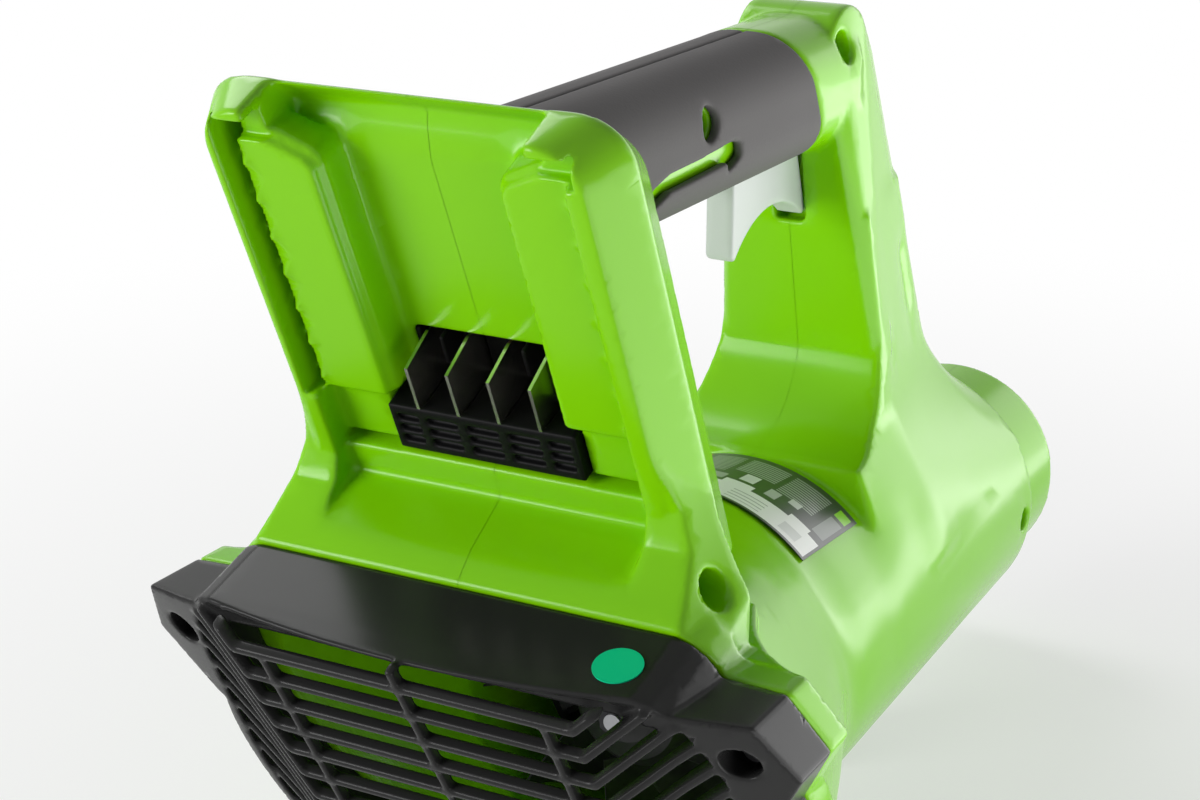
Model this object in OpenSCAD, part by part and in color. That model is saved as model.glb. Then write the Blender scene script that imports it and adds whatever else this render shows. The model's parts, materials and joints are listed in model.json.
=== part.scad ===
// Handheld axial leaf blower body: two moulded housing halves, a nested-bar
// intake grille, a slide-in battery bay, a rubber grip with a lever trigger,
// and an axial fan stage. Millimetres. +X is the way the air leaves, +Y is the
// user's left, +Z is up. The origin is the centre of the outlet mouth.

/* [Outlet] */
// Radius of the bore that the blow tube slides into
outlet_bore_r = 33; // [31:0.5:34]
// Outside radius of the outlet collar
collar_r = 36; // [35:0.5:38]
// Length of the outlet collar, from the mouth to the barrel shoulder
collar_len = 34; // [30:1:40]
// Depth of the tube socket, from the mouth to its stop
socket_depth = 60; // [50:1:75]
// Radius of the hole for the tube's snap button, on each side
snap_hole_r = 3.8; // [2.5:0.1:5]

/* [Barrel] */
// Barrel radius where it meets the collar
barrel_front_r = 40; // [39:0.5:42]
// Wall of the barrel around the fan casing
barrel_wall = 6; // [5:0.5:8]
// Distance from the outlet mouth to the rear end of the barrel
barrel_rear_x = 226; // [218:1:232]
// Height of the fan axis over the outlet axis
fan_axis_z = 10.5; // [8:0.5:12]
// Thickness of the moulded housing walls
wall = 2.6; // [2:0.1:3.2]

/* [Intake] */
// Distance from the outlet mouth to the grille face, on the outlet axis
grille_x = 323; // [315:1:330]
// Tilt of the grille face, its top leaning back
grille_tilt = 30.5; // [26:0.5:34]
// Outside radius of the round part of the intake
intake_r = 75.5; // [72:0.5:78]
// Height of the intake centre over the outlet axis, along the tilted face
intake_lift = 6.4; // [2:0.2:10]
// Depth of the grille cover, from its bars to the housing seam
cover_depth = 30; // [26:1:34]
// Depth of the green band in front of the cover's seam
seam_band = 9; // [7:1:14]
// Half-width of the grille cover over its two screw ears
ear_half_w = 84.7; // [82:0.5:88]
// Spacing of the nested bars
bar_pitch = 9.9; // [8:0.1:12]
// Thickness of each bar
bar_t = 2.4; // [1.6:0.1:3]
// Depth of each bar
bar_depth = 3.2; // [2.4:0.2:6]
// Half-length of the level run of each bar
bar_run = 43; // [36:1:50]
// Angle at which the ends of each bar rise
bar_rise = 39; // [30:1:50]

/* [Battery bay] */
// Tilt of the battery bay, its top leaning back
bay_tilt = 25; // [20:1:30]
// Distance from the outlet mouth to the bay's datum point
bay_x = 333.8; // [328:0.2:340]
// Height of the bay's datum point over the outlet axis
bay_z = 159.6; // [150:0.2:165]
// Height of the outer rim over the bay floor
rim_h = 14.8; // [12:0.2:18]
// Half-width of the tower at the rim
rim_half_w = 45; // [43:0.5:48]
// Largest half-width of the tower
tower_half_w = 50.5; // [48:0.5:54]
// Height of the battery rails over the bay floor
rail_h = 11; // [8:0.5:12]
// Clear width between the two battery rails
rail_gap = 45; // [44:0.2:48]
// Width of each rail
rail_w = 16.8; // [14:0.2:17]

/* [Handle] */
// Height of the top of the grip over the outlet axis
grip_top_z = 180; // [174:1:186]
// Height of the grip section
grip_h = 37; // [34:0.5:40]
// Width of the grip section
grip_w = 36; // [33:0.5:38]
// Thickness of the rubber over the handle core
grip_rubber = 2.8; // [2:0.1:3.4]
// Distance from the outlet mouth to the rear end of the grip
grip_rear_x = 324; // [318:1:328]
// Distance from the outlet mouth to the front end of the grip, at the top
grip_front_x = 188; // [184:1:192]

/* [Trigger] */
// Width of the trigger
trigger_w = 8; // [7:0.5:10]
// Radius of the trigger's pin
pin_r = 1.5; // [1.2:0.1:2]
// Radial running clearance on pins and shafts
run_gap = 0.05; // [0.02:0.01:0.09]

/* [Fan] */
// Radius of the round casing around the fan
casing_r = 45; // [44:0.5:46]
// Gap between the blade tips and the casing
tip_gap = 1.2; // [0.8:0.1:2]
// Radius of the fan hub
hub_r = 19; // [17:0.5:21]
// Length of the fan hub
hub_len = 22; // [18:1:26]
// Number of fan blades
blade_count = 9; // [5:1:11]
// Blade angle at the hub
blade_pitch = 42; // [30:1:50]
// Radius of the motor can
motor_r = 17.5; // [15:0.5:18]
// Length of the motor can
motor_len = 46; // [38:1:50]
// Radius of the motor shaft
shaft_r = 2.5; // [2:0.1:3]
// Number of guide vanes behind the fan
vane_count = 7; // [5:1:11]

/* [Hidden] */

eps = 0.01;
fit = 0.2;
seat = 0.3;
$fn = 72;
blend_fn = 32;

// Barrel: a cone whose axis rises from the outlet axis to the fan axis
barrel_rear_r = casing_r + barrel_wall;
barrel_len = barrel_rear_x - collar_len;
barrel_rise = atan(fan_axis_z * 1.2 / barrel_len);

// Grille cover frame
face_r = 311;
rim_back = 4;
opening_r = intake_r - 4;
ear_hole = [72.7, 54.1];
ear_seam_x = -320.3;
ear_hole_r = 4.4;
band_slope = 13.9;
band_up = 71.8;
band_under = 9;
throat_r = intake_r - wall - 3;
throat_top = 63;
ear_roof_z = 62.5;
grille_first = 72.3;

// Snap button's holes, behind the collar
snap_back = 9;

// Bay frame
bay_floor_top = 20.8;
bay_ramp_top = 28.2;
tower_top = 36;
block_lo = -59.6;
block_hi = -31;
block_neck_half_w = 18.5;
louvre_hi = -46.3;
block_half_w = 24.2;
slot_lo = -61;
rail_lo = -43.6;
rail_hi = 20;
pocket_half_w = 40;
lower_floor_h = 8;
board_h = -13;
ledge_h = 10.7;
bay_side_top = 27;
band_half_w = 33;
tower_top_z = 191.5;
flare_top = -32;
flare_r = 90;
shoulder_half_w = 61;
ear_top_z = 66;

// Handle
grip_mid_z = grip_top_z - grip_h / 2;
core_w = grip_w - 2 * grip_rubber;
core_h = grip_h - 2 * grip_rubber;
grip_r = 15;
post_lean = 11.4;
foot_r = 30.8;
pin_half = 11;
floor_z = -60;
label_from = 147;
label_to = 189;
label_angle = 44;
label_seat = 0.12;
label_t = 0.3;
dot_y = -47;

// Trigger: a lever on a pin at its front end
pin_x = -163;
pin_z = 147;
trigger_hub_r = 5;
trigger_slot_w = trigger_w + 1.2;
hook_x = -200.5;
slot_lo_z = 121.5;

// Switch: its body hangs from the roof of the handle, its plunger meets the trigger
plunger_x = -186;
plunger_foot_z = 150.3;
plunger_r = 2.2;
flange_r = 4.2;
flange_t = 1.5;
plunger_top_z = 163.8;
switch_z = 161;
switch_h = 11.5;
switch_boss_h = grip_top_z - grip_rubber - wall - switch_z;
bore_top_z = 169.5;

// Fan stage, along the fan axis
fan_x = -252;
motor_x = -240 + hub_len / 2;
tip_r = casing_r - tip_gap;
sleeve_r = motor_r + 1;
pod_r = sleeve_r + 2;

// Screws on the right side: [x, y of the recess mouth, z]
side_screws = [[-156, -19, 172], [-127, -23, 77], [-318.5, -53, 82.2], [-243.4, -18, 166.9]];
screw_recess_r = 4.3;
screw_r = 1.6;
screw_head_r = 3.2;
ear_seat = 9;

// Wires: hand-chosen route points, [x, z]
wire_r = 1.2;
wire_top = [-137, 72];
wire_angle = 230;
battery_route = [[-303.9, 131.6], [-306.1, 139.4], [-310.8, 150.5], [-309.5, 154.5], [-305, 156], [-296, 155.5],
    [-250, 155], [-230, 155], [-222, 158], [-214, 165], [-211, 166], [plunger_x - 22.1, 166]];
motor_route = [[plunger_x + 6.1, 166], [-175, 166], [-166, 158], [-152, 157], [-142, 151], [-137, 138],
    [-135, 120], [-135, 90], [-136, 76], [-141, 68.6], [-160, 52.7], [-186, 30.9]];

// ---------- frames and shared shapes ----------

// Moves children to the grille frame: X up the face, Y left, Z out of the face
module grille_frame() {
    translate([-grille_x, 0, 0]) rotate([0, -90 - grille_tilt, 0]) children();
}

// Moves children to the bay frame: X up the bay, Y left, Z out of the bay floor
module bay_frame() {
    translate([-bay_x, 0, bay_z]) rotate([0, -90 - bay_tilt, 0]) children();
}

// Moves children so that their Z runs forward along the fan axis from x
module fan_frame(x) {
    translate([x, 0, fan_axis_z]) rotate([0, 90, 0]) children();
}

// Rounded rectangle of true arcs
module round_rect(w, h, r) {
    square([w - 2 * r, h], center = true);
    square([w, h - 2 * r], center = true);
    for (x = [-1, 1], y = [-1, 1])
        translate([x * (w / 2 - r), y * (h / 2 - r)]) circle(r);
}

// Handle section swept along X, between two distances from the mouth
module handle_bar(x_rear, x_front, w, h, r) {
    translate([-x_rear, 0, grip_mid_z])
        rotate([90, 0, 90]) linear_extrude(x_rear - x_front) round_rect(w, h, r);
}

// ---------- housing ----------

// Outline across the intake, in the grille frame, without the ears
module intake_outline(g) {
    translate([intake_lift, 0]) circle(intake_r + g);
    polygon([[intake_lift, -intake_r - g], [44, -70 - g], [60, -62.5 - g], [80, -62.5 - g],
        [80, 62.5 + g], [60, 62.5 + g], [44, 70 + g], [intake_lift, intake_r + g]]);
}

// The two screw ears, extruded along X between two places
module ears(x_rear, x_front) {
    for (s = [-1, 1]) translate([x_rear, 0, 0]) rotate([90, 0, 90]) linear_extrude(x_front - x_rear)
        polygon([[s * 56, 67.3], [s * 77.8, 66], [s * ear_half_w, 50], [s * 74, 31], [s * 56, 20]]);
}

// Space over the band of the cover and of the housing's seam, lowered by g
module above_band(g) {
    grille_frame() translate([band_up - g, -100, -cover_depth]) rotate([0, band_slope, 0])
        translate([0, 0, -60]) cube([60, 200, 120]);
}

// Rounded corners of the band, cut away where it comes down to the ears
module band_corners() {
    grille_frame() translate([band_up, 0, -cover_depth]) rotate([0, band_slope, 0]) translate([0, 0, -60])
        linear_extrude(120) for (s = [-1, 1])
            polygon([[0.5, s * 52], [-0.3, s * 54.5], [-1.8, s * 58], [-5, s * 60.8], [-8.5, s * 62.2],
                [-14, s * 63.5], [-14, s * 100], [10, s * 100], [10, s * 52]]);
}

// Slice of the intake section between two heights under the bars
module intake_slice(from, to) {
    difference() {
        intersection() {
            union() {
                difference() {
                    grille_frame() translate([0, 0, -to]) linear_extrude(to - from) intake_outline(0);
                    band_corners();
                }
                ears(-370, -290);
            }
            grille_frame() translate([-120, -120, -to]) cube([240, 240, to - from]);
        }
        above_band(0);
    }
}

module barrel_outside() {
    translate([-collar_len, 0, 0]) rotate([0, -90 + barrel_rise, 0])
        cylinder(h = barrel_len, r1 = barrel_front_r, r2 = barrel_rear_r);
    translate([-collar_len - 12, 0, 0]) rotate([0, 90, 0]) cylinder(h = collar_len + 12, r = collar_r);
}

module intake_bell() {
    intake_slice(cover_depth, cover_depth + seam_band);
    hull() {
        translate([-barrel_rear_x + 6, 0, fan_axis_z * 1.15]) rotate([0, -90, 0])
            cylinder(h = 2, r = barrel_rear_r - 0.4, $fn = blend_fn);
        grille_frame() translate([intake_lift, 0, -cover_depth - seam_band + 1.5])
            cylinder(h = 2, r = intake_r - 1, $fn = 48);
        grille_frame() translate([30, -60, -cover_depth - seam_band + 1.5]) cube([30, 120, 2]);
    }
}

// Slab of the tower across the bay: rounded top corners, square foot
module tower_slab(half_w, top, foot) {
    r = 11;
    translate([foot, -half_w]) square([top - foot - r, 2 * half_w]);
    translate([top - r - 1, -half_w + r]) square([r + 1, 2 * (half_w - r)]);
    for (s = [-1, 1]) translate([top - r, s * (half_w - r)]) circle(r, $fn = blend_fn);
}

module tower_outside() {
    difference() {
        bay_frame() hull() {
            translate([0, 0, rim_h - 1]) linear_extrude(1) tower_slab(rim_half_w, tower_top, -66);
            translate([0, 0, 2]) linear_extrude(1) tower_slab(tower_half_w, tower_top, -75);
            translate([0, 0, -24]) linear_extrude(1) tower_slab(36, tower_top - 23, -112);
        }
        translate([-400, -80, tower_top_z]) cube([120, 160, 40]);
    }
}

// Flare from the foot of the tower out to the ears, and the step under the bay
module shoulders() {
    difference() {
        union() {
            intersection() {
                bay_frame() translate([0, 0, -30]) linear_extrude(80) difference() {
                    polygon([[-30, -rim_half_w], [-30, rim_half_w], [flare_top, rim_half_w],
                        [-83.5, shoulder_half_w], [-118, shoulder_half_w], [-118, -shoulder_half_w],
                        [-83.5, -shoulder_half_w], [flare_top, -rim_half_w]]);
                    for (s = [-1, 1]) translate([flare_top, s * (rim_half_w + flare_r)]) circle(flare_r);
                }
                bay_frame() translate([0, 84, 0]) rotate([90, 0, 0]) linear_extrude(168)
                    polygon([[-24, 6], [-24, rim_h - 1], [-60, rim_h - 1], [-67, rim_h + 3.5], [-71.3, 27.5],
                        [-74.9, 36.9], [-79, 42], [-118, 42], [-112, 26], [-60, 0]]);
            }
            bay_frame() translate([0, rim_half_w, 0]) rotate([90, 0, 0]) linear_extrude(2 * rim_half_w)
                polygon([[-56, -4], [-56, ledge_h - 0.02], [-69.52, ledge_h - 0.02], [-71.32, 27.5],
                    [-74.92, 36.9], [-98, 36], [-98, 0], [-70, -4]]);
            ear_webs();
        }
        grille_frame() translate([-120, -120, -cover_depth]) cube([240, 240, 90]);
    }
}

// Webs in front of the ears, up to the tower's foot
module ear_webs() {
    for (s = [-1, 1]) translate([0, 0, 30]) linear_extrude(ear_top_z - 30)
        polygon([[-321, s * 40], [-321, s * 77], [-317, s * 76.5], [-314, s * 71.3], [-309.5, s * 65.7],
            [-303, s * 60.5], [-297.6, s * 57.3], [-286, s * 52], [-286, s * 40]]);
}

module post_outside() {
    hull() {
        translate([-141.5, 0, 81]) rotate([0, -post_lean, 0]) rotate([90, 0, 90]) linear_extrude(2)
            polygon([[-17, 86], [-17.6, 70], [-23.7, 23], [-25.3, 0], [-28, -44], [-28, -60],
                [28, -60], [28, -44], [25.3, 0], [23.7, 23], [17.6, 70], [17, 86]]);
        translate([-150, 14, 168]) rotate([90, 0, 0]) cylinder(h = 28, r = 14.6, $fn = blend_fn);
        translate([-122, 0, 162]) sphere(10, $fn = blend_fn);
        translate([-50, 0, 34]) sphere(9, $fn = blend_fn);
    }
}

// Curved foot of the post, on the gap side
module post_foot() {
    intersection() {
        translate([0, 40, 0]) rotate([90, 0, 0]) linear_extrude(80) difference() {
            polygon([[-174, 40], [-174, 60], [-143, 88], [-130, 88], [-130, 40]]);
            translate([-174, 58 + foot_r]) circle(foot_r);
        }
        translate([-180, 0, 0]) rotate([90, 0, 90]) linear_extrude(60)
            polygon([[-34, 38], [-23.5, 89], [23.5, 89], [34, 38]]);
        translate([0, 0, 30]) linear_extrude(70)
            polygon([[-176, -33.5], [-160, -31], [-145, -27.5], [-129, -23.6], [-129, 23.6], [-145, 27.5],
                [-160, 31], [-176, 33.5]]);
    }
}

// Front end of the handle, which the rubber butts against, and the core inside the rubber
module handle_core() {
    handle_bar(grip_rear_x + 10, 150, core_w, core_h, grip_r - grip_rubber);
    difference() {
        handle_bar(grip_front_x, 146, grip_w, grip_h, grip_r);
        grip_end_cut(0);
    }
}

// Everything behind the slanted front end of the grip, moved forward by g
module grip_end_cut(g) {
    translate([-grip_front_x + g, -40, grip_top_z + 2]) rotate([0, -27, 0])
        translate([-200, 0, -200]) cube([200, 80, 400]);
}

// Foot under the front of the barrel
module front_foot() {
    translate([0, 5, 0]) rotate([90, 0, 0]) linear_extrude(10)
        polygon([[-146, -32], [-134, floor_z], [-104, floor_z], [-92, -32]]);
}

module housing_outside() {
    barrel_outside();
    intake_bell();
    tower_outside();
    shoulders();
    post_outside();
    post_foot();
    handle_core();
    front_foot();
}

module duct_inside() {
    translate([-socket_depth, 0, 0]) rotate([0, 90, 0]) cylinder(h = socket_depth + 1, r = outlet_bore_r);
    translate([-socket_depth + 0.5, 0, 0]) rotate([0, -90 + barrel_rise * 1.3, 0])
        cylinder(h = 124, r1 = outlet_bore_r - 2, r2 = casing_r - 0.5);
    fan_frame(-256) cylinder(h = 78, r = casing_r);
    hull() {
        fan_frame(-255) cylinder(h = 1, r = casing_r - 0.5, $fn = blend_fn);
        grille_frame() translate([0, 0, -cover_depth + 0.7]) linear_extrude(1) intersection() {
            translate([intake_lift, 0]) circle(throat_r, $fn = 48);
            translate([-100, -100]) square([100 + throat_top, 200]);
        }
    }
}

// Recess that the battery pack slides into
module bay_inside() {
    bay_frame() {
        difference() {
            translate([0, pocket_half_w, 0]) rotate([90, 0, 0]) linear_extrude(2 * pocket_half_w)
                polygon([[slot_lo, 0], [bay_side_top, 0], [bay_side_top, 60], [-110, 60], [-79, 42],
                    [-74.9, 36.9], [-71.3, 27.5], [-69.5, ledge_h], [slot_lo, ledge_h]]);
            for (s = [0, 1]) mirror([0, s, 0]) {
                bay_rail();
                translate([slot_lo + 1.5, block_half_w + fit, -1])
                    cube([rail_lo - slot_lo, pocket_half_w, lower_floor_h + 1]);
            }
        }
        translate([0, band_half_w, 0]) rotate([90, 0, 0]) linear_extrude(2 * band_half_w)
            polygon([[bay_floor_top, 0], [bay_ramp_top, -3.8], [35.4, 2.9], [60, 2.9], [60, 50],
                [bay_side_top - 0.1, 50], [bay_side_top - 0.1, 0]]);
        block_seat(block_half_w, louvre_hi);
        block_seat(block_neck_half_w, block_hi);
    }
}

// Room for one part of the terminal block
module block_seat(half_w, top) {
    translate([block_lo - fit, -half_w - fit, -12]) cube([top - block_lo + 2 * fit, 2 * (half_w + fit), 13]);
}

// One battery rail: a broad face with a step inside it, and the ribs in the slot outside it
module bay_rail() {
    y0 = rail_gap / 2;
    translate([0, 0, -1]) linear_extrude(rail_h + 1)
        polygon([[rail_lo, y0], [rail_hi - 0.4, y0], [rail_hi + 2, y0 + 1.4], [rail_hi + 6, y0 + 10],
            [bay_side_top + 1, y0 + 12], [bay_side_top + 1, y0 + rail_w], [rail_lo, y0 + rail_w]]);
    translate([0, 0, -1]) linear_extrude(rail_h - 1.5)
        polygon([[rail_lo, y0 - 1.5], [rail_hi + 0.3, y0 - 1.5], [rail_hi + 2.9, y0 + 0.1],
            [rail_hi + 7.2, y0 + 9], [rail_hi + 7.2, y0 + 12], [rail_lo, y0 + 4]]);
    for (i = [0 : 6]) translate([rail_lo + 3 + i * 10, y0 + rail_w - 1, -1]) cube([1.3, 6, rail_h + 2]);
}

// Hollows for the electronics and the wires
module tower_inside() {
    bay_frame() difference() {
        translate([-78, -33, -20]) cube([92, 66, 17]);
        for (u = [-11, 9], s = [-1, 1]) translate([u, s * 25, -21]) cylinder(h = 21 + board_h, r = 2.5);
    }
}

module handle_inside() {
    handle_bar(grip_rear_x - 9, 160, core_w - 2 * wall, core_h - 2 * wall, grip_r - grip_rubber - wall);
    translate([-206, -trigger_slot_w / 2, slot_lo_z]) cube([206 - 147.5, trigger_slot_w, grip_mid_z - slot_lo_z]);
}

module post_inside() {
    translate([0, 10, 0]) rotate([90, 0, 0]) linear_extrude(20)
        polygon([[-138, 68], [-139, 130], [-148, 152], [-161, 152], [-161, 168], [-130, 168], [-120, 156],
            [-86, 84], [-92, 68]]);
}

// Passage for the motor wires, from the post down into the motor pod
module wire_hole() {
    translate([wire_top[0], 0, wire_top[1]]) rotate([0, wire_angle, 0])
        translate([0, 0, -4]) cylinder(h = 70, r = 3.4);
}

// Screw recesses and shanks on the right side, pilot holes on the left
module screw_holes() {
    for (p = side_screws) translate([p[0], 0, p[2]]) rotate([90, 0, 0]) {
        translate([0, 0, 9]) cylinder(h = 60, r = screw_recess_r);
        translate([0, 0, -8]) cylinder(h = 18, r = screw_r + 0.02);
    }
}

module snap_holes() {
    translate([-collar_len - snap_back, 60, 0]) rotate([90, 0, 0]) cylinder(h = 120, r = snap_hole_r);
}

// Posts that take the screws inside the hollow parts
module screw_posts() {
    for (p = side_screws) translate([p[0], 14, p[2]]) rotate([90, 0, 0]) cylinder(h = 28, r = 5);
}

module ear_pilots() {
    grille_holes() translate([0, 0, -11]) cylinder(h = 20, r = screw_r + 0.02);
}

// The pin's seats in both halves, at the ends of the trigger's slot
module pin_seat() {
    translate([pin_x, pin_half + 0.5, pin_z]) rotate([90, 0, 0]) cylinder(h = 2 * pin_half + 1, r = pin_r + 0.02);
}

module housing() {
    difference() {
        housing_outside();
        duct_inside();
        bay_inside();
        difference() {
            union() {
                handle_inside();
                tower_inside();
                post_inside();
            }
            screw_posts();
        }
        wire_hole();
        screw_holes();
        snap_holes();
        ear_pilots();
        pin_seat();
    }
}

module left_housing() {
    color([0.47, 0.78, 0]) intersection() {
        housing();
        translate([-400, 0, -100]) cube([420, 120, 340]);
    }
}

module right_housing() {
    color([0.47, 0.78, 0]) intersection() {
        housing();
        translate([-400, -120, -100]) cube([420, 120, 340]);
    }
}

// ---------- intake grille ----------

// Rear face of the cover: a shallow cylinder
module cover_face() {
    grille_frame() translate([-120, 0, -rim_back - face_r]) rotate([0, 90, 0])
        cylinder(h = 240, r = face_r, $fn = 240);
}

// Moves children to each screw ear's hole: Z out of the ear, from the seam
module grille_holes() {
    for (s = [-1, 1]) translate([ear_seam_x, s * ear_hole[0], ear_hole[1]]) rotate([0, -90, 0]) children();
}

// Opening of the grille, grown outward by g
module grille_opening(g) {
    translate([intake_lift, 0]) circle(opening_r + g);
    polygon([[intake_lift, -opening_r - g], [30, -70 - g], [48.2, -67.9 - g], [57.7, -65.6 - g],
        [65, -63 - g], [70.4, -59.6 - g], [74.5 + g, -55], [75.2 + g, -47.5], [77 + g, 0],
        [75.2 + g, 47.5], [74.5 + g, 55], [70.4, 59.6 + g], [65, 63 + g], [57.7, 65.6 + g],
        [48.2, 67.9 + g], [30, 70 + g], [intake_lift, opening_r + g]]);
}

// One nested bar: level in the middle, rising at both ends
module bar_shape(u) {
    translate([u - bar_t / 2, -bar_run]) square([bar_t, 2 * bar_run]);
    for (s = [-1, 1]) translate([u, s * bar_run]) {
        circle(bar_t / 2, $fn = 24);
        rotate(s * (90 - bar_rise)) translate([0, -bar_t / 2]) square([70, bar_t]);
    }
}

// Envelope of the bars: flat in the middle, falling away to the sides
module bar_roof() {
    translate([-80, 0, 0]) rotate([90, 0, 90]) linear_extrude(160)
        polygon([[-76, -15], [-60, -8.8], [-bar_run - 1, 0], [bar_run + 1, 0], [60, -8.8], [76, -15],
            [76, -17.8 - bar_depth], [60, -10.6 - bar_depth], [bar_run, -bar_depth], [-bar_run, -bar_depth],
            [-60, -10.6 - bar_depth], [-76, -17.8 - bar_depth]]);
}

// The cover's band over the opening, closed by the housing's ledge
module cover_shell() {
    difference() {
        intersection() {
            intake_slice(0, cover_depth);
            cover_face();
        }
        difference() {
            grille_frame() translate([0, 0, -cover_depth - 1]) linear_extrude(cover_depth + 2) intersection() {
                grille_opening(0);
                translate([-100, -100]) square([100 + 69, 200]);
            }
            for (s = [-1, 1]) translate([-400, s > 0 ? 54 : -154, ear_roof_z]) cube([150, 100, 40]);
        }
        difference() {
            grille_frame() translate([0, 0, -band_under]) linear_extrude(cover_depth + 2) grille_opening(0);
            above_band(1.4);
        }
        ear_bores();
    }
}

// Two pads under the cover
module cover_feet() {
    for (s = [-1, 1]) translate([0, s * 30 + 5, 0]) rotate([90, 0, 0]) linear_extrude(10)
        polygon([[-287, -49], [-281, floor_z], [-262, floor_z], [-266, -48]]);
}

module ear_bores() {
    grille_holes() {
        translate([0, 0, -20]) cylinder(h = 60, r = screw_r + fit);
        translate([0, 0, ear_seat]) cylinder(h = 60, r = ear_hole_r);
    }
}

module rear_grille() {
    color([0.17, 0.17, 0.17]) {
        cover_shell();
        cover_feet();
        grille_frame() intersection() {
            translate([0, 0, -30]) linear_extrude(32) intersection() {
                union() {
                    for (i = [0 : 12]) bar_shape(grille_first - i * bar_pitch);
                    translate([-66, -1]) square([145, 2]);
                    for (y = [-36, 36]) translate([-66, y - 1]) square([66 + grille_first, 2]);
                }
                grille_opening(1.5);
            }
            bar_roof();
        }
    }
}

module grille_screws() {
    color([0.72, 0.72, 0.74]) grille_holes() {
        translate([0, 0, -10.5]) cylinder(h = ear_seat + 10.5, r = screw_r, $fn = 24);
        translate([0, 0, ear_seat]) cylinder(h = 2.4, r = screw_head_r, $fn = 32);
    }
}

// ---------- grip ----------

module grip_sleeve() {
    difference() {
        intersection() {
            handle_bar(grip_rear_x, 150, grip_w, grip_h, grip_r);
            grip_end_cut(-seat);
        }
        handle_bar(grip_rear_x + 1, 140, core_w, core_h, grip_r - grip_rubber);
        tower_outside();
        translate([-206, -trigger_slot_w / 2 - 1, slot_lo_z]) cube([206 - 147.5, trigger_slot_w + 2, grip_mid_z - slot_lo_z]);
        translate([side_screws[3][0], 0, side_screws[3][2]]) rotate([90, 0, 0])
            cylinder(h = 40, r = screw_recess_r);
        for (s = [-1, 1]) grip_window(s);
    }
}

// Slot in the rubber through which the housing's bright band shows
module grip_window(s) {
    translate([0, s * (grip_w / 2 - 2.5), 0]) rotate([90, 0, 0]) translate([0, 0, -4]) linear_extrude(8)
        polygon([[-280, 152.5], [-273.5, 157.1], [-265.3, 159], [-248, 159.4], [-231.3, 160.4],
            [-226.6, 159.5], [-225.3, 155.9], [-230.9, 152.8], [-233, 155.6], [-248, 155], [-264, 154.6],
            [-275, 150]]);
}

module left_grip() {
    color([0.27, 0.27, 0.265]) intersection() {
        grip_sleeve();
        translate([-400, 0, 100]) cube([400, 60, 140]);
    }
}

module right_grip() {
    color([0.27, 0.27, 0.265]) intersection() {
        grip_sleeve();
        translate([-400, -60, 100]) cube([400, 60, 140]);
    }
}

// ---------- trigger and switch ----------

module trigger() {
    color([0.84, 0.86, 0.85]) difference() {
        union() {
            translate([0, trigger_w / 2, 0]) rotate([90, 0, 0]) linear_extrude(trigger_w) difference() {
                polygon([[hook_x, 147], [hook_x, 121.5], [-198, 119.8], [-195.5, 120.6], [-194, 123],
                    [-154, 123.2], [-151.6, 124.6], [-153, 129], [-158, 142], [pin_x + 4, pin_z + 3],
                    [pin_x, pin_z + 5], [-178, 151]]);
                translate([-174, 97.5]) circle(33);
            }
            translate([pin_x, trigger_w / 2, pin_z]) rotate([90, 0, 0])
                cylinder(h = trigger_w, r = trigger_hub_r);
        }
        translate([pin_x, trigger_w, pin_z]) rotate([90, 0, 0]) cylinder(h = 2 * trigger_w, r = pin_r + run_gap);
    }
}

module trigger_pin() {
    color([0.75, 0.75, 0.77]) translate([pin_x, pin_half, pin_z]) rotate([90, 0, 0])
        cylinder(h = 2 * pin_half, r = pin_r);
}

// Return spring round the plunger, between its flange and the switch body
module trigger_spring() {
    z0 = plunger_foot_z + flange_t;
    color([0.7, 0.7, 0.7]) translate([plunger_x, 0, z0]) difference() {
        cylinder(h = switch_z - z0, r = flange_r - 0.4);
        translate([0, 0, -1]) cylinder(h = 20, r = plunger_r + 0.5);
    }
}

module switch_body() {
    color([0.13, 0.13, 0.13]) difference() {
        union() {
            translate([plunger_x - 22, -8, switch_z]) cube([28, 16, switch_h]);
            translate([plunger_x - 18, -2.5, switch_z]) cube([20, 5, switch_boss_h]);
        }
        translate([plunger_x, 0, switch_z - 1]) cylinder(h = bore_top_z - switch_z + 1, r = plunger_r + run_gap);
    }
}

module switch_plunger() {
    color([0.85, 0.2, 0.15]) translate([plunger_x, 0, plunger_foot_z]) {
        cylinder(h = plunger_top_z - plunger_foot_z, r = plunger_r);
        cylinder(h = flange_t, r = flange_r);
    }
}

// ---------- battery terminals ----------

module terminal_block() {
    color([0.07, 0.07, 0.07]) bay_frame() difference() {
        union() {
            translate([block_lo, -block_neck_half_w, -12]) cube([block_hi - block_lo, 2 * block_neck_half_w, 6]);
            translate([block_lo, -block_half_w, -12]) cube([louvre_hi - block_lo, 2 * block_half_w, 22.4]);
            for (s = [-1, 1]) translate([louvre_hi - 1, s * (block_neck_half_w - 0.75) - 0.75, -7])
                cube([block_hi - louvre_hi + 1, 1.5, 7]);
            for (y = [-10.5, 10.5]) translate([block_hi - 8, y - 0.6, -7]) cube([8, 1.2, 9]);
        }
        for (i = [0 : 4], j = [0 : 2]) louvre(i, j);
        for (i = [0 : 3]) blade(i, fit / 2);
    }
}

// One louvre slot in the front wall of the terminal block
module louvre(i, j) {
    w = i == 0 || i == 4 ? 5.5 : 8;
    y = [-19.6, -10.6, 0, 10.6, 19.6][i];
    translate([block_lo + 2.4 + j * 3.2, y - w / 2, 8.6]) cube([1.9, w, 3]);
}

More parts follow.
